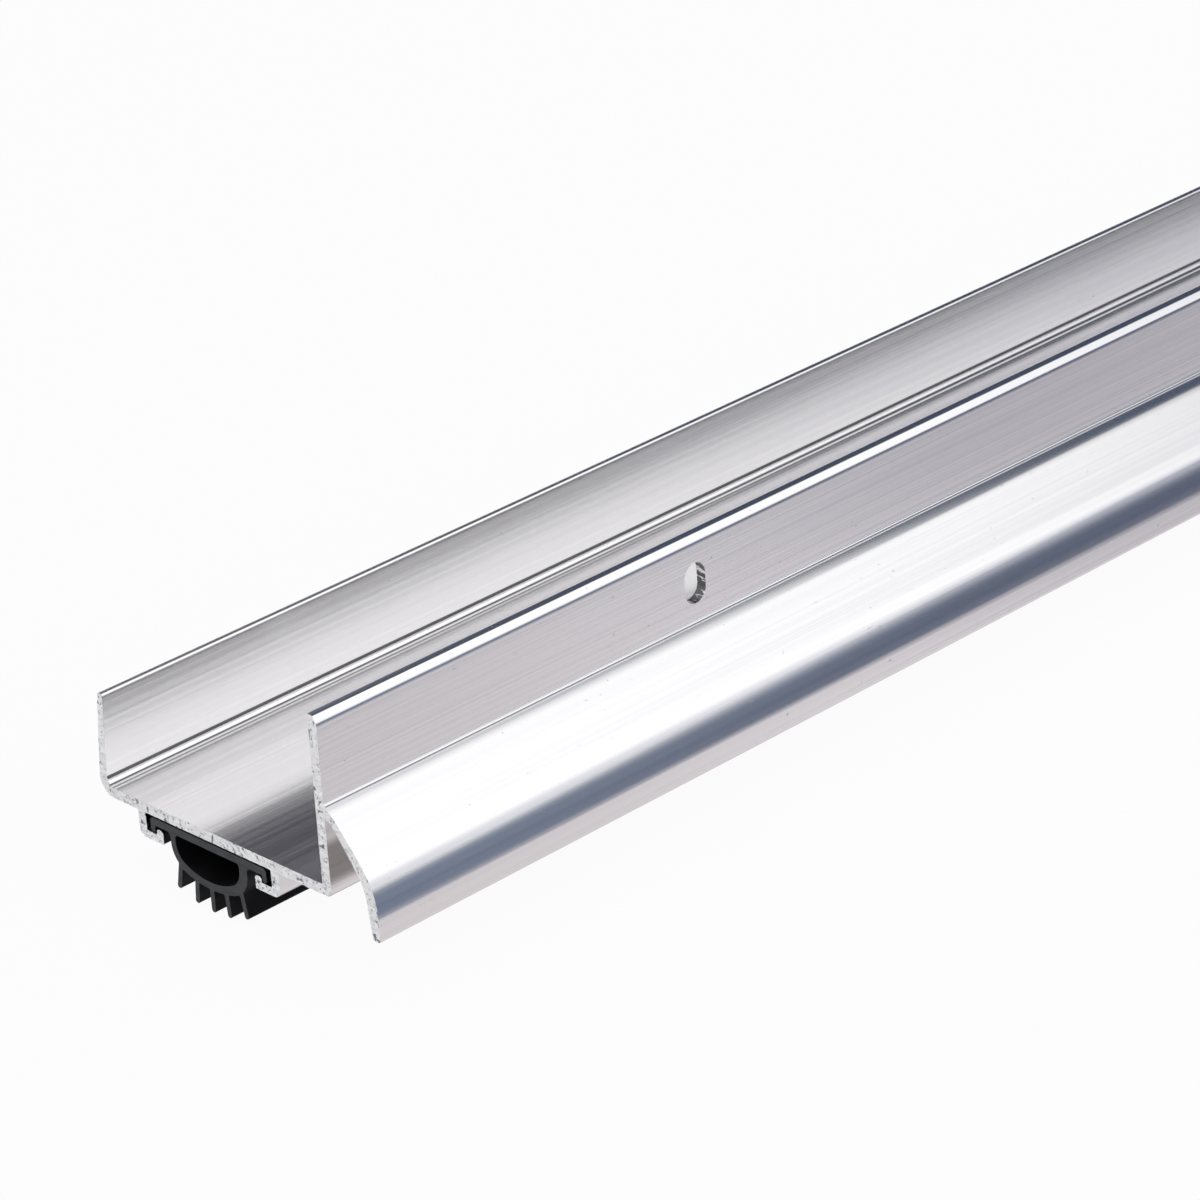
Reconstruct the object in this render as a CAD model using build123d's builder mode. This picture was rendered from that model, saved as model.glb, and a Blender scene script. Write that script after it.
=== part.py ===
"""Door bottom seal: an aluminium channel with a drip cap, and a finned vinyl seal in the track under it.

Every section lies in the YZ plane and runs along X. The front, where the drip cap is, faces -Y.
The origin is at the middle of the channel's floor, on the face that the door stands on.
"""
import os

from build123d import *

# Length of both extrusions, for a door 3 ft wide
length = 914.4

# U channel that wraps the bottom edge of a door 1-3/4 in thick
channel_width = 45.4
web = 1.6
front_height = 26.0
front_wall = 1.7
front_top_flat = 0.08
front_heel_round = 0.9
rear_height = 14.7
rear_wall_top = 1.1
rear_wall_foot = 1.8
rear_toe_in = 1.1
rear_top_round = 0.45
rear_heel_round = 2.8
rear_foot_round = 1.2
edge_round = 0.25
fine_round = 0.12

# Screw slots in the front leg: upright, so that the channel can be set to the threshold
slot_width = 4.2
slot_height = 6.3
slot_rise = 18.5
slot_end_distance = 72.0
slot_count = 4

# Drip cap: a wing that leaves the front leg, bends down twice and ends in a plumb lip. Its upper face
# starts at the root height; its under face has bends of its own, because the wall is thickest at the brow.
cap_root_height = 12.3
cap_knee_reach = 1.6
cap_knee_drop = 0.9
cap_knee_radius = 6.0
cap_reach = 9.3
cap_brow_height = 2.6
cap_brow_radius = 11.7
cap_bottom = -5.3
cap_root_wall = 1.9
cap_lip_wall = 1.4
under_knee_reach = 1.15
under_knee_height = 10.2
under_knee_radius = 1.1
under_brow_reach = 6.95
under_brow_height = 2.5
under_brow_radius = 8.0
cap_root_round = 0.3
cap_end_round = 0.35

# Fine bead along the joint of the drip cap and the leg
cap_bead_radius = 0.35
cap_bead_rise = 0.12

# Track under the floor: two hooks, a little to the rear of the middle
track_offset = 1.4
track_width = 26.5
track_depth = 2.75
hook_wall = 1.6
hook_lip = 1.3
hook_heel_round = 1.2
bead_height = 0.9
bead_width = 1.35
bead_flat = 0.15

# Vinyl seal: a flat head with two down-turned feet, which slides in the track
head_clearance = 0.25
side_clearance = 1.0
foot_clearance = 0.25
head_thickness = 1.2
foot_thickness = 0.9
head_round = 0.7
foot_round = 0.35
neck_round = 0.7

# Hollow bulb under the head, and the space inside it
bulb_width = 16.2
bulb_side = 4.15
bulb_sag = 2.15
bulb_corner = 4.5
bulb_wall = 1.15
bulb_side_wall = 1.35
hollow_shift = 0.3
hollow_top_round = 0.6
hollow_corner = 3.2

# Fins under the bulb, from the middle one outwards: distance of the root from the middle line, how far
# the tip stands outside the root, and how far it hangs below the bulb. The outer fins leave the bulb's
# corners, so they are placed from its sides.
fin_thickness = 0.85
fin_tip_round = 0.35
fin_root_round = 0.3
inner_fin_root = 2.95
outer_fin_inset = 1.75
fins = [
    {"root": 0.0, "splay": 0.0, "drop": 3.55},
    {"root": inner_fin_root, "splay": 0.5, "drop": 3.25},
    {"root": bulb_width / 2 - outer_fin_inset, "splay": 0.85, "drop": 2.15},
]

# Faces that both pieces are measured from
front_inner = -channel_width / 2
front_outer = front_inner - front_wall
rear_inner = channel_width / 2
front_top_round = front_wall - front_top_flat - fine_round
knee = (front_outer - cap_knee_reach, cap_root_height - cap_knee_drop)
brow = (front_outer - cap_reach, cap_brow_height)
under_knee = (front_outer - under_knee_reach, under_knee_height)
under_brow = (front_outer - under_brow_reach, under_brow_height)
lip_top = -web - track_depth
hook_bottom = lip_top - hook_lip
hook_reach = side_clearance + foot_thickness + foot_clearance + bead_width
bead_round = (bead_width - bead_flat) / 2
head_top = -web - head_clearance
head_bottom = head_top - head_thickness
foot_bottom = lip_top + head_clearance
head_half = track_width / 2 - side_clearance
hollow_width = bulb_width - 2 * bulb_side_wall


def corner(sketch, y, z):
    """The corner of the sketch that lies nearest to a point."""
    return sketch.vertices().sort_by_distance((y, z))[0]


# Channel, drip cap and track hooks: one extrusion
with BuildPart() as channel:
    with BuildSketch(Plane.YZ.offset(-length / 2)) as section:
        with BuildLine():
            Polyline(
                (front_outer, -web),
                (front_outer, front_height),
                (front_inner, front_height),
                (front_inner, 0),
                (rear_inner, 0),
                (rear_inner - rear_toe_in, rear_height),
                (rear_inner - rear_toe_in + rear_wall_top, rear_height),
                (rear_inner + rear_wall_foot, -web),
                close=True,
            )
        make_face()

        with BuildLine():
            Polyline(
                (front_inner, cap_root_height),
                (front_outer, cap_root_height),
                knee,
                brow,
                (front_outer - cap_reach, cap_bottom),
                (front_outer - cap_reach + cap_lip_wall, cap_bottom),
                under_brow,
                under_knee,
                (front_outer, cap_root_height - cap_root_wall),
                (front_inner, cap_root_height - cap_root_wall),
                close=True,
            )
        make_face()

        for side in (-1, 1):
            hook_inner = track_offset + side * track_width / 2
            hook_outer = hook_inner + side * hook_wall
            lip_end = hook_inner - side * hook_reach
            bead_back = lip_end + side * bead_width
            with BuildLine():
                Polyline(
                    (hook_inner, -web / 2),
                    (hook_outer, -web / 2),
                    (hook_outer, hook_bottom),
                    (lip_end, hook_bottom),
                    (lip_end, lip_top + bead_height),
                    (bead_back, lip_top + bead_height),
                    (bead_back, lip_top),
                    (hook_inner, lip_top),
                    close=True,
                )
            make_face()
            fillet(corner(section, hook_outer, hook_bottom), hook_heel_round)
            fillet(corner(section, lip_end, hook_bottom), edge_round)
            fillet(corner(section, lip_end, lip_top + bead_height), bead_round)
            fillet(corner(section, bead_back, lip_top + bead_height), bead_round)

        fillet(corner(section, front_outer, front_height), front_top_round)
        fillet(corner(section, front_inner, front_height), fine_round)
        fillet(corner(section, front_outer, -web), front_heel_round)
        fillet(corner(section, rear_inner - rear_toe_in, rear_height), rear_top_round)
        fillet(corner(section, rear_inner - rear_toe_in + rear_wall_top, rear_height), edge_round)
        fillet(corner(section, rear_inner, 0), rear_foot_round)
        fillet(corner(section, rear_inner + rear_wall_foot, -web), rear_heel_round)
        fillet(corner(section, front_outer, cap_root_height - cap_root_wall), cap_root_round)
        fillet(corner(section, *knee), cap_knee_radius)
        fillet(corner(section, *brow), cap_brow_radius)
        fillet(corner(section, front_outer - cap_reach, cap_bottom), cap_end_round)
        fillet(corner(section, front_outer - cap_reach + cap_lip_wall, cap_bottom), cap_end_round)
        fillet(corner(section, *under_brow), under_brow_radius)
        fillet(corner(section, *under_knee), under_knee_radius)
        with Locations((front_outer, cap_root_height + cap_bead_rise)):
            Circle(cap_bead_radius)
    extrude(amount=length)

    slot_span = length - 2 * slot_end_distance
    with BuildSketch(Plane.XZ.offset(-front_inner)):
        with Locations((0, slot_rise)):
            with GridLocations(slot_span / (slot_count - 1), 0, slot_count, 1):
                SlotOverall(slot_height, slot_width, rotation=90)
    extrude(amount=front_wall, mode=Mode.SUBTRACT)

# Vinyl seal: head, feet, bulb and fins in one extrusion, cut flush with the channel
with BuildPart() as vinyl_seal:
    with BuildSketch(Plane.YZ.offset(-length / 2)) as section:
        with BuildLine():
            Polyline(
                (track_offset - head_half, head_top),
                (track_offset + head_half, head_top),
                (track_offset + head_half, foot_bottom),
                (track_offset + head_half - foot_thickness, foot_bottom),
                (track_offset + head_half - foot_thickness, head_bottom),
                (track_offset - head_half + foot_thickness, head_bottom),
                (track_offset - head_half + foot_thickness, foot_bottom),
                (track_offset - head_half, foot_bottom),
                close=True,
            )
        make_face()
        for side in (-1, 1):
            foot_outer = track_offset + side * head_half
            fillet(corner(section, foot_outer, head_top), head_round)
            fillet(corner(section, foot_outer, foot_bottom), foot_round)
            fillet(corner(section, foot_outer - side * foot_thickness, foot_bottom), foot_round)
            fillet(corner(section, foot_outer - side * foot_thickness, head_bottom), foot_round)

        bulb_shoulder = head_bottom - bulb_side
        bulb_bottom = bulb_shoulder - bulb_sag
        with BuildLine():
            Polyline(
                (track_offset - bulb_width / 2, bulb_shoulder),
                (track_offset - bulb_width / 2, head_bottom),
                (track_offset + bulb_width / 2, head_bottom),
                (track_offset + bulb_width / 2, bulb_shoulder),
            )
            ThreePointArc(
                (track_offset + bulb_width / 2, bulb_shoulder),
                (track_offset, bulb_bottom),
                (track_offset - bulb_width / 2, bulb_shoulder),
            )
        make_face()
        for side in (-1, 1):
            bulb_face = track_offset + side * bulb_width / 2
            fillet(corner(section, bulb_face, bulb_shoulder), bulb_corner)
            fillet(corner(section, bulb_face, head_bottom), neck_round)

        # The fins start inside the bulb, and the hollow cuts their roots off afterwards
        for fin in fins:
            for side in (-1, 1) if fin["root"] else (1,):
                root = (track_offset + side * fin["root"], bulb_shoulder)
                tip = (root[0] + side * fin["splay"], bulb_bottom - fin["drop"])
                with BuildLine() as fin_line:
                    Line(root, tip)
                trace(fin_line.line, line_width=fin_thickness)
                for edge in (-1, 1):
                    fillet(corner(section, tip[0] + edge * fin_thickness / 2, tip[1]), fin_tip_round)
        flanks = section.edges().filter_by(GeomType.LINE).filter_by(lambda edge: edge.length > fin_thickness)
        fin_flanks = flanks.filter_by(lambda edge: edge.center().Y < bulb_shoulder)
        fillet([edge.vertices().sort_by(Axis.Y)[-1] for edge in fin_flanks], fin_root_round)

        hollow_middle = track_offset + hollow_shift
        with BuildLine():
            Polyline(
                (hollow_middle - hollow_width / 2, bulb_shoulder + bulb_wall),
                (hollow_middle - hollow_width / 2, head_bottom),
                (hollow_middle + hollow_width / 2, head_bottom),
                (hollow_middle + hollow_width / 2, bulb_shoulder + bulb_wall),
            )
            ThreePointArc(
                (hollow_middle + hollow_width / 2, bulb_shoulder + bulb_wall),
                (hollow_middle, bulb_bottom + bulb_wall),
                (hollow_middle - hollow_width / 2, bulb_shoulder + bulb_wall),
            )
        make_face(mode=Mode.SUBTRACT)
        for side in (-1, 1):
            hollow_face = hollow_middle + side * hollow_width / 2
            fillet(corner(section, hollow_face, head_bottom), hollow_top_round)
            fillet(corner(section, hollow_face, bulb_shoulder + bulb_wall), hollow_corner)
    extrude(amount=length)

channel.part.label = "channel"
vinyl_seal.part.label = "vinyl_seal"

os.makedirs("parts", exist_ok=True)
export_step(channel.part, "parts/channel.step")
export_step(vinyl_seal.part, "parts/vinyl_seal.step")
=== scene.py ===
"""Door bottom seal: mill-finish aluminium channel with a drip cap, and a black vinyl seal in its track."""
import math

import bmesh
import bpy
from mathutils import Matrix, Vector, noise


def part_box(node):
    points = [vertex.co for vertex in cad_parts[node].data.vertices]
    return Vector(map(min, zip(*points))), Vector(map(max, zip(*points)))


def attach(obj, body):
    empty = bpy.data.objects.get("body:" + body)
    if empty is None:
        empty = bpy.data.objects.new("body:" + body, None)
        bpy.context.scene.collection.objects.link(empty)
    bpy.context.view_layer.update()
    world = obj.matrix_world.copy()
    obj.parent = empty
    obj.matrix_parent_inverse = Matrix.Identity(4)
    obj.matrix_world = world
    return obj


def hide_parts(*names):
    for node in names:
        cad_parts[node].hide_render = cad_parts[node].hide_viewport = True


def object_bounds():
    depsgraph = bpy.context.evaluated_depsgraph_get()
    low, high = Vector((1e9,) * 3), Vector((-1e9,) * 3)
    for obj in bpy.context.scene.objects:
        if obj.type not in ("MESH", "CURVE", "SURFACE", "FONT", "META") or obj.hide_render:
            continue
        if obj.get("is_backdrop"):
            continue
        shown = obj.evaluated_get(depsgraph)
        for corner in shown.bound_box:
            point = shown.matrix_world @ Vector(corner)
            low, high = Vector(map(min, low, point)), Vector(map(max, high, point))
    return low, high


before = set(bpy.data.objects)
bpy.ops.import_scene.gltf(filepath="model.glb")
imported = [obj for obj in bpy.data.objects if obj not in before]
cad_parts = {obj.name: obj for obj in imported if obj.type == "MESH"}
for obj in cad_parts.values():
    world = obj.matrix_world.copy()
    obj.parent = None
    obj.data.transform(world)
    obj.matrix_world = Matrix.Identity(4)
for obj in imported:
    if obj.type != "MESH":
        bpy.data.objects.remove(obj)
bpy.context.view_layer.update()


# Channel.
# One aluminium extrusion that wraps the bottom of the door, with a drip cap on its taller front leg and
# two hooks underneath for the seal. It is left as it came from the die, and sawn to length.
MM = 0.001
NEAR_END, FAR_END = (corner.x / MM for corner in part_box("channel"))

CHANNEL_WIDTH = 45.4
WEB = 1.6
FRONT_HEIGHT = 26.0
FRONT_WALL = 1.7
FRONT_TOP_SLOPE = 0.18
FRONT_BEVEL_WIDTH = 0.6
FRONT_BEVEL_HEIGHT = 1.1
FRONT_TOP_ROUND = 0.35
FRONT_FACE_ROUND = 0.9
FRONT_HEEL_ROUND = 0.9
REAR_HEIGHT = 14.7
REAR_WALL_TOP = 1.1
REAR_WALL_FOOT = 1.8
REAR_TOE_IN = 1.1
REAR_HEEL_ROUND = 2.8
REAR_FOOT_ROUND = 1.2
REAR_FOOT_STEP = 0.36
REAR_FOOT_LEAN = 0.05
REAR_FOOT_REACH = 0.7
REAR_FOOT_RISE = 0.38
REAR_FOOT_INSET = 0.06
REAR_TOP_ROUND = 0.45
SOFT_EDGE = 0.25
FINE_ROUND = 0.12
CREASE = 0.15

CAP_ROOT_HEIGHT = 12.3
CAP_KNEE_REACH = 1.6
CAP_KNEE_DROP = 0.9
CAP_KNEE_ROUND = 6.0
CAP_REACH = 9.3
CAP_BROW_HEIGHT = 2.6
CAP_BROW_ROUND = 11.7
CAP_BOTTOM = -5.3
CAP_ROOT_WALL = 1.9
CAP_LIP_WALL = 1.4
UNDER_KNEE_REACH = 1.15
UNDER_KNEE_HEIGHT = 10.2
UNDER_KNEE_ROUND = 1.1
UNDER_BROW_REACH = 6.95
UNDER_BROW_HEIGHT = 2.5
UNDER_BROW_ROUND = 8.0
CAP_ROOT_ROUND = 0.3
CAP_END_ROUND = 0.35
CAP_BEAD_RADIUS = 0.35
CAP_BEAD_RISE = 0.12

TRACK_MIDDLE = 1.4
TRACK_WIDTH = 26.5
TRACK_DEPTH = 2.75
HOOK_WALL = 1.6
HOOK_LIP = 1.3
HOOK_REACH = 3.5
HOOK_HEEL_ROUND = 1.2
BEAD_HEIGHT = 0.9
BEAD_WIDTH = 1.35
BEAD_ROUND = 0.6

SAW_DEPTH = 0.12
SAW_BITES_PER_MM = 1.3
RIM_WIDTH = 0.2
CREASE_ANGLE = 25

FRONT_INNER = -CHANNEL_WIDTH / 2
FRONT_OUTER = FRONT_INNER - FRONT_WALL
REAR_INNER = CHANNEL_WIDTH / 2
LIP_TOP = -WEB - TRACK_DEPTH
HOOK_BOTTOM = LIP_TOP - HOOK_LIP


def rounded(corners, step=0.3, arc_step=9):
    """Closed outline through (y, z, radius) corners in mm, with an arc at each and a point every step."""
    bends = []
    for index, (y, z, radius) in enumerate(corners):
        here = Vector((y, z))
        back = (Vector(corners[index - 1][:2]) - here).normalized()
        ahead = (Vector(corners[(index + 1) % len(corners)][:2]) - here).normalized()
        half = back.angle(ahead) / 2
        if radius == 0:
            bends.append([here])
            continue
        centre = here + (back + ahead).normalized() * (radius / math.sin(half))
        start = here + back * (radius / math.tan(half)) - centre
        turn = math.copysign(math.pi - 2 * half, ahead.cross(back))
        count = max(3, math.ceil(abs(turn) / math.radians(arc_step)))
        turns = [turn * part / count for part in range(count + 1)]
        bends.append([centre + Matrix.Rotation(angle, 2) @ start for angle in turns])
    outline = []
    for index, bend in enumerate(bends):
        outline.extend(bend)
        run = bends[(index + 1) % len(bends)][0] - bend[-1]
        pieces = max(1, round(run.length / step))
        outline.extend(bend[-1] + run * part / pieces for part in range(1, pieces))
    return outline


def cap_bead():
    """Points round the fine bead on the joint, from the drip cap's upper face up to the leg."""
    middle = Vector((FRONT_OUTER, CAP_ROOT_HEIGHT + CAP_BEAD_RISE))
    slope = math.atan2(CAP_KNEE_DROP, CAP_KNEE_REACH)
    start = math.pi + slope + math.asin(CAP_BEAD_RISE * math.cos(slope) / CAP_BEAD_RADIUS)
    points = []
    count = 12
    for part in range(count + 1):
        turn = start + (math.pi / 2 - start) * part / count
        spot = middle + CAP_BEAD_RADIUS * Vector((math.cos(turn), math.sin(turn)))
        points.append((spot.x, spot.y, 0))
    return points


def hook(side):
    """Corners of one hook, from its heel round the lip and the bead to the corner of the track."""
    inner = TRACK_MIDDLE + side * TRACK_WIDTH / 2
    end = inner - side * HOOK_REACH
    bead = end + side * BEAD_WIDTH
    return [
        (inner + side * HOOK_WALL, -WEB, CREASE),
        (inner + side * HOOK_WALL, HOOK_BOTTOM, HOOK_HEEL_ROUND),
        (end, HOOK_BOTTOM, SOFT_EDGE),
        (end, LIP_TOP + BEAD_HEIGHT, BEAD_ROUND),
        (bead, LIP_TOP + BEAD_HEIGHT, BEAD_ROUND),
        (bead, LIP_TOP, CREASE),
        (inner, LIP_TOP, CREASE),
        (inner, -WEB, CREASE),
    ]


channel_outline = rounded([
    (FRONT_OUTER, FRONT_HEIGHT - FRONT_TOP_SLOPE - FRONT_BEVEL_HEIGHT, FRONT_FACE_ROUND),
    (FRONT_OUTER + FRONT_BEVEL_WIDTH, FRONT_HEIGHT - FRONT_TOP_SLOPE, FRONT_TOP_ROUND),
    (FRONT_INNER, FRONT_HEIGHT, FINE_ROUND),
    (FRONT_INNER, 0, CREASE),
    (REAR_INNER - REAR_FOOT_REACH - REAR_FOOT_LEAN, 0, 0),
    (REAR_INNER - REAR_FOOT_REACH, REAR_FOOT_STEP, 0),
    (REAR_INNER - REAR_FOOT_INSET, REAR_FOOT_STEP + REAR_FOOT_RISE, REAR_FOOT_ROUND),
    (REAR_INNER - REAR_TOE_IN, REAR_HEIGHT, REAR_TOP_ROUND),
    (REAR_INNER - REAR_TOE_IN + REAR_WALL_TOP, REAR_HEIGHT, SOFT_EDGE),
    (REAR_INNER + REAR_WALL_FOOT, -WEB, REAR_HEEL_ROUND),
    *hook(1),
    *reversed(hook(-1)),
    (FRONT_OUTER, -WEB, FRONT_HEEL_ROUND),
    (FRONT_OUTER, CAP_ROOT_HEIGHT - CAP_ROOT_WALL, CAP_ROOT_ROUND),
    (FRONT_OUTER - UNDER_KNEE_REACH, UNDER_KNEE_HEIGHT, UNDER_KNEE_ROUND),
    (FRONT_OUTER - UNDER_BROW_REACH, UNDER_BROW_HEIGHT, UNDER_BROW_ROUND),
    (FRONT_OUTER - CAP_REACH + CAP_LIP_WALL, CAP_BOTTOM, CAP_END_ROUND),
    (FRONT_OUTER - CAP_REACH, CAP_BOTTOM, CAP_END_ROUND),
    (FRONT_OUTER - CAP_REACH, CAP_BROW_HEIGHT, CAP_BROW_ROUND),
    (FRONT_OUTER - CAP_KNEE_REACH, CAP_ROOT_HEIGHT - CAP_KNEE_DROP, CAP_KNEE_ROUND),
    *cap_bead(),
])


def into_scene(name, shape):
    """Object in the scene with the mesh of a bmesh, which is freed."""
    mesh = bpy.data.meshes.new(name)
    shape.to_mesh(mesh)
    shape.free()
    piece = bpy.data.objects.new(name, mesh)
    bpy.context.scene.collection.objects.link(piece)
    return piece


def sawn_extrusion(name, outlines, saw_depth):
    """Runs closed outlines from end to end, with ragged sawn edges; its second material is the end faces.

    The point attribute "rim" is 1 along the outline of an end face and 0 elsewhere on it.
    """
    shape = bmesh.new()
    rim = shape.verts.layers.float.new("rim")
    rings = {}
    for end, inward in ((NEAR_END, 1), (FAR_END, -1)):
        for number, outline in enumerate(outlines):
            edge, shoulder = [], []
            for point in outline:
                bite_place = Vector((point.x * SAW_BITES_PER_MM, point.y * SAW_BITES_PER_MM, end))
                bite = 0.5 + 0.5 * noise.noise(bite_place)
                edge.append(shape.verts.new(Vector((end + inward * saw_depth * bite, *point)) * MM))
                shoulder.append(shape.verts.new(Vector((end + inward * 2 * saw_depth, *point)) * MM))
            rings[end, number] = (edge, shoulder)
    for number in range(len(outlines)):
        near_edge, near_shoulder = rings[NEAR_END, number]
        far_edge, far_shoulder = rings[FAR_END, number]
        strips = ((near_edge, near_shoulder), (near_shoulder, far_shoulder), (far_shoulder, far_edge))
        for one, two in strips:
            for index in range(len(one)):
                shape.faces.new((one[index - 1], one[index], two[index], two[index - 1]))
    for end in (NEAR_END, FAR_END):
        edges = []
        for number in range(len(outlines)):
            ring = rings[end, number][0]
            edges.extend(shape.edges.get((ring[index - 1], ring[index])) for index in range(len(ring)))
        filled = bmesh.ops.triangle_fill(shape, edges=edges, use_beauty=True)
        face_of_end = [item for item in filled["geom"] if isinstance(item, bmesh.types.BMFace)]
        for face in face_of_end:
            face.material_index = 1
        bmesh.ops.inset_region(shape, faces=face_of_end, thickness=RIM_WIDTH * MM, use_even_offset=True)
        for number in range(len(outlines)):
            for vert in rings[end, number][0]:
                vert[rim] = 1.0
        for face in face_of_end:
            for vert in face.verts:
                vert[rim] = 0.0
    bmesh.ops.recalc_face_normals(shape, faces=shape.faces)
    return into_scene(name, shape)


channel = sawn_extrusion("channel_extrusion", [channel_outline], SAW_DEPTH)


# Screw slots.
# Four upright slots, punched through the front leg for the screws into the door, so that the channel can
# be set up or down on it. Their torn walls are painted dark with shade, with bright spots of painted glint.
SLOT_WIDTH = 4.2
SLOT_HEIGHT = 6.3
SLOT_RISE = 18.5
SLOT_END_DISTANCE = 72.0
SLOT_COUNT = 4
PUNCH_OVERLAP = 1.0
first_slot = NEAR_END + SLOT_END_DISTANCE
slot_pitch = (FAR_END - SLOT_END_DISTANCE - first_slot) / (SLOT_COUNT - 1)


def slot_punch(number):
    """Upright pin with round ends, longer than the leg is thick, that cuts one slot."""
    shape = bmesh.new()
    half_straight = (SLOT_HEIGHT - SLOT_WIDTH) / 2
    count = 48
    ring = []
    for part in range(count):
        turn = 2 * math.pi * (part + 0.5) / count
        rise = SLOT_RISE + math.copysign(half_straight, math.sin(turn)) + SLOT_WIDTH / 2 * math.sin(turn)
        place = first_slot + number * slot_pitch + SLOT_WIDTH / 2 * math.cos(turn)
        ring.append((place, rise))
    sides = []
    for y in (FRONT_OUTER - PUNCH_OVERLAP, FRONT_INNER + PUNCH_OVERLAP):
        sides.append([shape.verts.new(Vector((x, y, z)) * MM) for x, z in ring])
    for index in range(len(ring)):
        shape.faces.new((sides[0][index - 1], sides[0][index], sides[1][index], sides[1][index - 1]))
    for side in sides:
        shape.faces.new(side)
    bmesh.ops.recalc_face_normals(shape, faces=shape.faces)
    for face in shape.faces:
        face.material_index = 2
    return into_scene(f"slot_punch_{number + 1}", shape)


class Tone:
    """A shader socket that sums and products can be written with, each adding its Math node."""

    def __init__(self, tree, socket):
        self.tree = tree
        self.socket = socket

    def node(self, kind, settings=None, sockets=None, output=0):
        """Adds a node: its settings first, then the values or links of its sockets."""
        made = self.tree.nodes.new(kind)
        for key, value in (settings or {}).items():
            setattr(made, key, value)
        for key, value in (sockets or {}).items():
            if isinstance(value, Tone):
                self.tree.links.new(value.socket, made.inputs[key])
            else:
                made.inputs[key].default_value = value
        return Tone(self.tree, made.outputs[output] if made.outputs else None)

    def math(self, operation, first, second):
        return self.node("ShaderNodeMath", {"operation": operation}, {0: first, 1: second})

    def __add__(self, other):
        return self.math("ADD", self, other)

    def __radd__(self, other):
        return self.math("ADD", other, self)

    def __sub__(self, other):
        return self.math("SUBTRACT", self, other)

    def __rsub__(self, other):
        return self.math("SUBTRACT", other, self)

    def __mul__(self, other):
        return self.math("MULTIPLY", self, other)

    def __rmul__(self, other):
        return self.math("MULTIPLY", other, self)

    def ease(self, low, high, start=0.0, end=1.0):
        """Runs smoothly from start to end while this value goes from low to high."""
        limits = {"Value": self, "From Min": low, "From Max": high, "To Min": start, "To Max": end}
        return self.node("ShaderNodeMapRange", {"interpolation_type": "SMOOTHSTEP"}, limits)

    def blend(self, one, other):
        """Colour mixed from one to the other by this value."""
        def colour(choice):
            return choice if isinstance(choice, Tone) else (*choice, 1.0)
        sockets = {0: self, 6: colour(one), 7: colour(other)}
        return self.node("ShaderNodeMix", {"data_type": "RGBA"}, sockets, 2)

    def noise(self, stretch, detail=4.0, roughness=0.55):
        """Noise on these coordinates, with so many features to the metre along each axis."""
        scaled = self.node("ShaderNodeVectorMath", {"operation": "MULTIPLY"}, {0: self, 1: stretch})
        grain = {"Vector": scaled, "Scale": 1.0, "Detail": detail, "Roughness": roughness}
        return self.node("ShaderNodeTexNoise", {}, grain)


def emptied(owner):
    """Clears the nodes of a material or a world, and gives the bare Tone that adds new ones to it."""
    owner.use_nodes = True
    owner.node_tree.nodes.clear()
    return Tone(owner.node_tree, None)


def finish(name):
    """A new material: (material, the place of each point on the piece, its surface socket setter)."""
    material = bpy.data.materials.new(name)
    bare = emptied(material)
    place = bare.node("ShaderNodeTexCoord", output="Object")

    def surface(**sockets):
        named = {key.replace("_", " "): value for key, value in sockets.items()}
        shader = bare.node("ShaderNodeBsdfPrincipled", {}, named)
        bare.node("ShaderNodeOutputMaterial", {}, {"Surface": shader})

    return material, place, surface


def relief(height, distance):
    """Normal of a surface raised by height times a distance in metres."""
    return height.node("ShaderNodeBump", {}, {"Height": height, "Distance": distance, "Strength": 1.0})


# Two lines of painted shade along the rear leg's foot, where fine grooves would lie in shade.
REAR_GROOVE_SHADES = [
    {"inset": 0.12, "height": 1.28, "reach": 0.31},
    {"inset": 0.71, "height": 0.30, "reach": 0.18},
]


def painted_groove_shade(place, line):
    """Dark line of painted shade along the rear leg's foot, standing for the shade in a fine groove: 1 on
    it, 0 beyond its reach.
    """
    across = place.node("ShaderNodeVectorMath", {"operation": "MULTIPLY"}, {0: place, 1: (0.0, 1.0, 1.0)})
    middle = (0.0, (REAR_INNER - line["inset"]) * MM, line["height"] * MM)
    gap = place.node("ShaderNodeVectorMath", {"operation": "DISTANCE"}, {0: across, 1: middle}, 1)
    reach = line["reach"] * MM
    return gap.ease(0.45 * reach, reach, 1.0, 0.0)


def mill_finish():
    """Skin of the extrusion: die lines along it, soft bands, a few dull specks and two lines of painted
    groove shade.
    """
    material, place, surface = finish("mill_finish")
    die_lines = place.noise((2.5, 1100, 1100), 5.0, 0.6)
    bands = place.noise((1.5, 210, 210), 2.0)
    specks = place.noise((900, 1400, 1400), 2.0).ease(0.70, 0.80)
    tone = (die_lines * 0.55 + bands * 0.45).ease(0.32, 0.68)
    upper, lower = (painted_groove_shade(place, line) for line in REAR_GROOVE_SHADES)
    skin = specks.blend(tone.blend((0.77, 0.765, 0.78), (0.87, 0.86, 0.86)), (0.60, 0.60, 0.63))
    surface(
        # Painted shade: the two groove lines at the rear foot darken the skin's colour.
        Base_Color=(upper + lower).blend(skin, (0.18, 0.18, 0.19)),
        Metallic=1.0,
        Roughness=0.13 + 0.07 * tone + 0.15 * specks,
        Normal=relief(die_lines + 0.9 * bands, 1.4e-5),
    )
    return material


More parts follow.
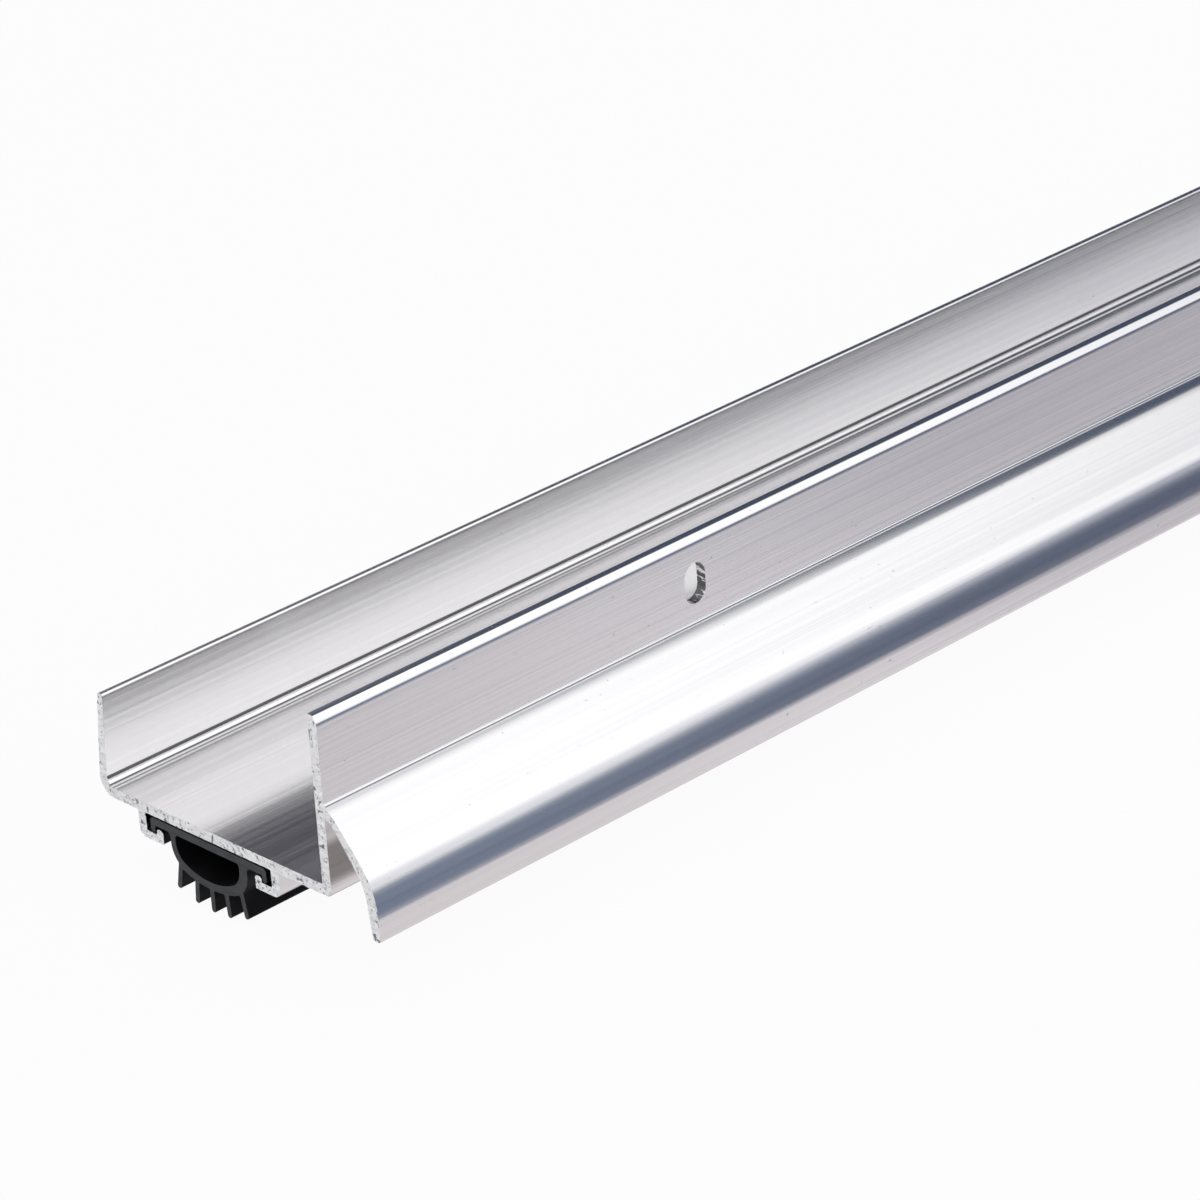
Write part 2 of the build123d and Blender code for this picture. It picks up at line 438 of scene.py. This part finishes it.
def sawn_face():
    """Fresh cut across the extrusion: bright, with tooth marks, bluish pits and dark burrs, and painted
    shade along its rim.
    """
    material, place, surface = finish("sawn_face")
    rim = place.node("ShaderNodeAttribute", {"attribute_name": "rim"}, output="Fac")
    tooth_marks = place.noise((1, 700, 3800), 3.0, 0.7)
    pits = place.noise((1, 1900, 1900), 3.0, 0.65).ease(0.55, 0.68)
    # Dark burr patches, with painted shade added along the rim of the end face.
    burrs_and_rim_shade = (place.noise((1, 1300, 1300), 2.0) + 0.19 * rim).ease(0.60, 0.70)
    clean = tooth_marks.ease(0.35, 0.65).blend((0.84, 0.85, 0.88), (1.0, 1.0, 1.0))
    pitted = pits.blend(clean, (0.46, 0.50, 0.58))
    surface(
        Base_Color=burrs_and_rim_shade.blend(pitted, (0.22, 0.24, 0.29)),
        Metallic=1.0,
        Roughness=0.42 + 0.2 * pits,
        Normal=relief(tooth_marks - 0.8 * pits - 0.8 * burrs_and_rim_shade, 4.0e-5),
    )
    return material


def punched_wall():
    """Wall of a punched slot: torn, dark with painted shade and with bright spots of painted glint."""
    material, place, surface = finish("punched_wall")
    tears_and_glints = place.noise((1500, 500, 1500), 3.0, 0.6)
    surface(
        # Painted shade makes most of the wall dark, and painted glints make bright spots on it.
        Base_Color=tears_and_glints.ease(0.5, 0.62).blend((0.13, 0.13, 0.14), (0.95, 0.95, 0.95)),
        Metallic=1.0,
        Roughness=0.28 + 0.2 * tears_and_glints,
        Normal=relief(tears_and_glints, 3.0e-5),
    )
    return material


def apply_modifiers(piece):
    """Makes the shape that the piece's modifiers give its own mesh."""
    piece.data = bpy.data.meshes.new_from_object(piece.evaluated_get(bpy.context.evaluated_depsgraph_get()))
    piece.modifiers.clear()


for material in (mill_finish(), sawn_face(), punched_wall()):
    channel.data.materials.append(material)
punches = [slot_punch(number) for number in range(SLOT_COUNT)]
for punch in punches:
    for material in channel.data.materials:
        punch.data.materials.append(material)
    cut = channel.modifiers.new(punch.name, "BOOLEAN")
    cut.operation = "DIFFERENCE"
    cut.object = punch
    cut.material_mode = "INDEX"
apply_modifiers(channel)
for punch in punches:
    bpy.data.objects.remove(punch)
channel.data.shade_smooth()
channel.data.set_sharp_from_angle(angle=math.radians(CREASE_ANGLE))
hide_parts("channel")
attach(channel, "channel")


# Vinyl seal.
# One black flexible vinyl extrusion: a flat head whose two feet stand in the track, a hollow bulb under it
# and five fins that sweep the threshold. It is slid in from an end and trimmed flush with the channel.
HEAD_CLEARANCE = 0.25
SIDE_CLEARANCE = 1.0
HEAD_THICKNESS = 1.2
FOOT_THICKNESS = 0.9
HEAD_ROUND = 0.7
FOOT_ROUND = 0.35
NECK_ROUND = 0.7

BULB_WIDTH = 16.2
BULB_SIDE = 4.15
BULB_SAG = 2.15
BULB_CORNER = 4.5
BULB_WALL = 1.15
BULB_SIDE_WALL = 1.35
HOLLOW_SHIFT = 0.3
HOLLOW_TOP_ROUND = 0.6
HOLLOW_CORNER = 3.2

FIN_THICKNESS = 0.85
FIN_TIP_ROUND = 0.35
FIN_ROOT_ROUND = 0.3
OUTER_FIN_INSET = 1.75
FINS_FROM_SIDE = [
    {"root": BULB_WIDTH / 2 - OUTER_FIN_INSET, "splay": 0.85, "drop": 2.15},
    {"root": 2.95, "splay": 0.5, "drop": 3.25},
]
MIDDLE_FIN_DROP = 3.55
FIN_ROOT_GAP = 0.4

KNIFE_DEPTH = 0.05
SEAL_CREASE_ANGLE = 35

HEAD_TOP = -WEB - HEAD_CLEARANCE
HEAD_BOTTOM = HEAD_TOP - HEAD_THICKNESS
FOOT_BOTTOM = LIP_TOP + HEAD_CLEARANCE
HEAD_HALF = TRACK_WIDTH / 2 - SIDE_CLEARANCE
SHOULDER = HEAD_BOTTOM - BULB_SIDE
BULB_BOTTOM = SHOULDER - BULB_SAG


class Belly:
    """Underside of the bulb or its hollow: a sagging arc that turns up into each side with a corner."""

    def __init__(self, half, shoulder, bottom, corner):
        sag = shoulder - bottom
        self.radius = (half ** 2 + sag ** 2) / (2 * sag)
        self.middle = bottom + self.radius
        self.half = half
        self.corner = corner
        self.corner_middle = self.middle - math.sqrt((self.radius - corner) ** 2 - (half - corner) ** 2)
        self.corner_start = (half - corner) * self.radius / (self.radius - corner)

    def height(self, reach):
        """Height of the surface at a distance from the middle line."""
        if reach > self.corner_start:
            across = min(self.corner, reach - (self.half - self.corner))
            return self.corner_middle - math.sqrt(self.corner ** 2 - across ** 2)
        return self.middle - math.sqrt(self.radius ** 2 - reach ** 2)

    def points(self, outer, inner, gap=0.5, pitch=0.6):
        """Plain points on the surface between two distances, none nearer to them than the gap."""
        count = max(1, round((outer - inner - 2 * gap) / pitch))
        reaches = [outer - gap - (outer - inner - 2 * gap) * part / count for part in range(count + 1)]
        return [(reach, self.height(reach), 0) for reach in reaches]

    def side_corner(self, inner):
        """Points round the corner from the straight side inwards, as far as a distance."""
        reaches = []
        for degrees in range(0, 90, 6):
            reach = self.half - self.corner * (1 - math.cos(math.radians(degrees)))
            if reach > inner:
                reaches.append(reach)
        return [(reach, self.height(reach), 0) for reach in reaches]


def fin_corners(belly, fin):
    """Corners of one fin beside the middle: its outer root, the two of its tip and its inner root."""
    root = Vector((fin["root"], SHOULDER))
    tip = Vector((fin["root"] + fin["splay"], BULB_BOTTOM - fin["drop"]))
    along = (tip - root).normalized()
    corners = []
    for side in (1, -1):
        edge = Vector((-along.y, along.x)) * side * FIN_THICKNESS / 2
        low, high = 0.0, (tip - root).length
        for _ in range(30):
            middle = (low + high) / 2
            spot = root + edge + along * middle
            if spot.y > belly.height(abs(spot.x)):
                low = middle
            else:
                high = middle
        foot = root + edge + along * low
        end = tip + edge
        pair = [(foot.x, foot.y, FIN_ROOT_ROUND), (end.x, end.y, FIN_TIP_ROUND)]
        corners.extend(pair if side == 1 else reversed(pair))
    return corners


def mirrored(half_outline, middle):
    """Whole outline from its right half, listed from the top down."""
    right = [(middle + reach, z, radius) for reach, z, radius in half_outline]
    left = [(middle - reach, z, radius) for reach, z, radius in half_outline]
    return right + left[::-1]


belly = Belly(BULB_WIDTH / 2, SHOULDER, BULB_BOTTOM, BULB_CORNER)
seal_half = [
    (HEAD_HALF, HEAD_TOP, HEAD_ROUND),
    (HEAD_HALF, FOOT_BOTTOM, FOOT_ROUND),
    (HEAD_HALF - FOOT_THICKNESS, FOOT_BOTTOM, FOOT_ROUND),
    (HEAD_HALF - FOOT_THICKNESS, HEAD_BOTTOM, FOOT_ROUND),
    (BULB_WIDTH / 2, HEAD_BOTTOM, NECK_ROUND),
]
outer_fin, inner_fin = (fin_corners(belly, fin) for fin in FINS_FROM_SIDE)
seal_half += belly.side_corner(outer_fin[0][0] + FIN_ROOT_GAP) + outer_fin
seal_half += belly.points(outer_fin[-1][0], inner_fin[0][0]) + inner_fin
seal_half += belly.points(inner_fin[-1][0], FIN_THICKNESS / 2)
seal_half += [
    (FIN_THICKNESS / 2, belly.height(FIN_THICKNESS / 2), FIN_ROOT_ROUND),
    (FIN_THICKNESS / 2, BULB_BOTTOM - MIDDLE_FIN_DROP, FIN_TIP_ROUND),
]

hollow_wall = BULB_WIDTH / 2 - BULB_SIDE_WALL
hollow_belly = Belly(hollow_wall, SHOULDER + BULB_WALL, BULB_BOTTOM + BULB_WALL, HOLLOW_CORNER)
hollow_half = [(hollow_wall, HEAD_BOTTOM, HOLLOW_TOP_ROUND)]
hollow_half += hollow_belly.side_corner(hollow_belly.corner_start)
hollow_half += hollow_belly.points(hollow_belly.corner_start, 0)

seal = sawn_extrusion(
    "vinyl_extrusion",
    [
        rounded(mirrored(seal_half, TRACK_MIDDLE)),
        rounded(mirrored(hollow_half, TRACK_MIDDLE + HOLLOW_SHIFT)),
    ],
    KNIFE_DEPTH,
)


def black_vinyl():
    """Skin of the seal: satin black with faint flow lines along it and a little dust."""
    material, place, surface = finish("black_vinyl")
    flow_lines = place.noise((4, 900, 900), 4.0)
    bloom = place.noise((60, 240, 240), 4.0).ease(0.45, 0.75)
    surface(
        Base_Color=bloom.blend((0.005, 0.005, 0.006), (0.012, 0.012, 0.014)),
        Roughness=0.46 + 0.16 * flow_lines,
        Specular_IOR_Level=0.14,
        Normal=relief(flow_lines, 1.5e-5),
    )
    return material


def cut_vinyl():
    """Knife-cut end of the seal: dull charcoal with faint drag lines."""
    material, place, surface = finish("cut_vinyl")
    drag = place.noise((1, 500, 2600), 4.0, 0.6)
    surface(
        Base_Color=drag.ease(0.3, 0.7).blend((0.026, 0.028, 0.033), (0.054, 0.057, 0.065)),
        Roughness=0.5 + 0.15 * drag,
        Normal=relief(drag, 3.0e-5),
    )
    return material


for material in (black_vinyl(), cut_vinyl()):
    seal.data.materials.append(material)
seal.data.shade_smooth()
seal.data.set_sharp_from_angle(angle=math.radians(SEAL_CREASE_ANGLE))
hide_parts("vinyl_seal")
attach(seal, "seal")


# Studio.
# The seal lies on a white sweep under a long soft light. Grey cards, which the camera doesn't see, give
# the bright metal its dark edges, as they do in a photographer's light tent. All are in metres.
LIGHT_STRENGTH = 1.28
LIGHT_HEIGHT = 2.0
LIGHT_FRONT = -1.9
LIGHT_REAR = 1.6
CARDS_LEFT = -2.6
CARDS_RIGHT = 3.6
FRONT_CARD_FOOT = 0.40
REAR_CARDS_LEFT = 0.30
FELT_FOOT = 0.82
STRIP_FOOT = 0.45
GROUND_HEIGHT = -1.05
GROUND_LEFT = -1.6
GROUND_REAR = 3.0
HORIZON_FRONT = LIGHT_FRONT + 0.1
HORIZON_LEFT = -1.2
HORIZON_OUTLINE = [
    (HORIZON_LEFT, GROUND_HEIGHT), (CARDS_RIGHT, GROUND_HEIGHT), (CARDS_RIGHT, 0.70), (1.6, 0.52),
    (1.12, 0.36), (0.94, 0.26), (HORIZON_LEFT, 0.12),
]


def level(height, left, right, front, rear):
    """Corners of a level rectangle."""
    return [(left, front, height), (right, front, height), (right, rear, height), (left, rear, height)]


def upright(y, left, right, foot, top):
    """Corners of an upright rectangle that stands across Y."""
    return [(left, y, foot), (right, y, foot), (right, y, top), (left, y, top)]


def sheet(name, corners, material):
    """One flat face in the scene, with its material."""
    mesh = bpy.data.meshes.new(name)
    mesh.from_pydata(corners, [], [tuple(range(len(corners)))])
    mesh.materials.append(material)
    piece = bpy.data.objects.new(name, mesh)
    bpy.context.scene.collection.objects.link(piece)
    return piece


def card(name, corners, colour_at, strength=1.0):
    """Flat studio card that only reflections and lighting see; its colour comes from the place on it."""
    material, place, surface = finish(name)
    x, y, z = (place.node("ShaderNodeSeparateXYZ", {}, {0: place}, axis) for axis in range(3))
    surface(
        Base_Color=(0.0, 0.0, 0.0, 1.0),
        Roughness=1.0,
        Specular_IOR_Level=0.0,
        Emission_Color=colour_at(x, y, z),
        Emission_Strength=strength,
    )
    piece = sheet(name, corners, material)
    piece.visible_camera = False
    piece.visible_shadow = False
    piece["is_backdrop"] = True


def soft_roof(x, y, z):
    """White overhead, greyer to the left; it falls off to dark navy to the right and the rear."""
    white = x.ease(-1.4, 0.5).blend((0.62, 0.62, 0.64), (1.0, 1.0, 1.0))
    slanting = (0.69 * x + 0.72 * y).ease(0.22, 1.06).blend(white, (0.030, 0.040, 0.064))
    right_edge = (x + 0.2 * y).ease(1.26, 1.42) * y.ease(-1.15, -0.75)
    return right_edge.blend(slanting, (0.05, 0.066, 0.105))


def soft_front(x, y, z):
    """White wall behind the camera, dimmer at both sides and along its lower edge."""
    left = x.ease(-1.4, 0.5).blend((0.52, 0.52, 0.54), (1.0, 1.0, 1.0))
    wall = x.ease(1.5, 2.3).blend(left, (0.64, 0.65, 0.69))
    return z.ease(0.40, 0.85).blend((0.66, 0.67, 0.72), wall)


def dark_rear(x, y, z):
    """Dark felt behind the seal, paler high up on the left."""
    felt = x.ease(0.95, 1.35).blend((0.082, 0.080, 0.094), (0.030, 0.034, 0.054))
    return (z.ease(1.25, 1.6) * x.ease(1.15, 1.4, 1.0, 0.0)).blend(felt, (0.42, 0.42, 0.47))


def pale_rear(x, y, z):
    """White strip under the felt."""
    return x.ease(1.0, 1.5).blend((1.0, 0.99, 1.02), (0.66, 0.66, 0.72))


def blue_horizon(x, y, z):
    """Blue grey gap between the light wall and the ground."""
    haze = x.ease(0.95, 1.25).blend((0.54, 0.57, 0.63), (0.33, 0.36, 0.44))
    deep = x.ease(0.85, 1.4).blend((0.20, 0.24, 0.325), (0.105, 0.125, 0.185))
    return z.ease(-0.08, 0.34).blend(deep, haze)


def ground(x, y, z):
    """Light grey ground, darker to the right and under the rear of the seal."""
    middle = x.ease(0.96, 1.12).blend((0.80, 0.755, 0.765), (0.90, 0.86, 0.885))
    front = x.ease(1.15, 1.38).blend(middle, (0.62, 0.595, 0.635))
    return y.ease(-0.2, 0.6).blend(front, (0.30, 0.28, 0.27))


card(
    "soft_roof",
    level(LIGHT_HEIGHT, CARDS_LEFT, CARDS_RIGHT, LIGHT_FRONT, LIGHT_REAR),
    soft_roof,
    LIGHT_STRENGTH,
)
card(
    "soft_front",
    upright(LIGHT_FRONT, CARDS_LEFT, CARDS_RIGHT, FRONT_CARD_FOOT, LIGHT_HEIGHT),
    soft_front,
    LIGHT_STRENGTH,
)
card("dark_rear", upright(LIGHT_REAR, REAR_CARDS_LEFT, CARDS_RIGHT, FELT_FOOT, LIGHT_HEIGHT), dark_rear)
card(
    "pale_rear",
    upright(LIGHT_REAR, REAR_CARDS_LEFT, CARDS_RIGHT, STRIP_FOOT, FELT_FOOT),
    pale_rear,
    LIGHT_STRENGTH,
)
card("blue_horizon", [(x, HORIZON_FRONT, z) for x, z in HORIZON_OUTLINE], blue_horizon)
card("ground", level(GROUND_HEIGHT, GROUND_LEFT, CARDS_RIGHT, HORIZON_FRONT, GROUND_REAR), ground)


# Floor and room.
# A sheet of white paper under the seal, which takes its shadow, and a room that lights it evenly. To the
# camera and in reflections both look plain white, however little light they get.
FLOOR_HALF = 6.0
FLOOR_GAP = 0.0002
FLOOR_WHITENESS = 0.95
PAPER = (0.86, 0.86, 0.86, 1.0)
WHITE = (1.0, 1.0, 1.0, 1.0)
ROOM_STRENGTH = 0.45


def white_for_the_eye(lit, share):
    """Mixes a lit shader with plain white for the camera, for reflections and through glass."""
    seen = lit.node("ShaderNodeLightPath", output="Is Camera Ray")
    mirrored_ray = lit.node("ShaderNodeLightPath", output="Is Glossy Ray")
    through = lit.node("ShaderNodeLightPath", output="Is Transmission Ray")
    white = lit.node("ShaderNodeEmission", {}, {"Color": WHITE, "Strength": 1.0})
    plain = (seen + mirrored_ray + through) * share
    return lit.node("ShaderNodeMixShader", {}, {0: plain, 1: lit, 2: white})


floor_material = bpy.data.materials.new("white_sweep")
bare_floor = emptied(floor_material)
paper = bare_floor.node("ShaderNodeBsdfDiffuse", {}, {"Color": PAPER})
bare_floor.node("ShaderNodeOutputMaterial", {}, {"Surface": white_for_the_eye(paper, FLOOR_WHITENESS)})

floor_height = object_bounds()[0].z - FLOOR_GAP
floor_corners = level(floor_height, -FLOOR_HALF, FLOOR_HALF, -FLOOR_HALF, FLOOR_HALF)
floor = sheet("floor", floor_corners, floor_material)
floor.visible_glossy = False
floor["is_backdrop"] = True

world = bpy.data.worlds.new("studio")
bare_world = emptied(world)
room = bare_world.node("ShaderNodeBackground", {}, {"Color": WHITE, "Strength": ROOM_STRENGTH})
bare_world.node("ShaderNodeOutputWorld", {}, {"Surface": white_for_the_eye(room, 1.0)})
bpy.context.scene.world = world
bpy.context.scene.view_settings.view_transform = "Standard"


# Camera.
# It stands above the near end, on the side of the drip cap, with a long lens and a slight roll. It shows
# the two sections on the sawn end, and the channel running out of the picture.
CAMERA_PLACE = Vector((-0.8379, -0.48484, 0.32583))
CAMERA_AHEAD = Vector((0.618625, 0.6564, -0.43179))
CAMERA_ROLL = -3.667
LENS = 150.89
SENSOR = 36.0

camera_data = bpy.data.cameras.new("camera")
camera_data.lens = LENS
camera_data.sensor_width = SENSOR
camera_data.clip_start = 0.01
camera = bpy.data.objects.new("camera", camera_data)
ahead = CAMERA_AHEAD.to_track_quat("-Z", "Y").to_matrix()
turn = ahead @ Matrix.Rotation(math.radians(CAMERA_ROLL), 3, "Z")
camera.matrix_world = Matrix.Translation(CAMERA_PLACE) @ turn.to_4x4()
bpy.context.scene.collection.objects.link(camera)
bpy.context.scene.camera = camera
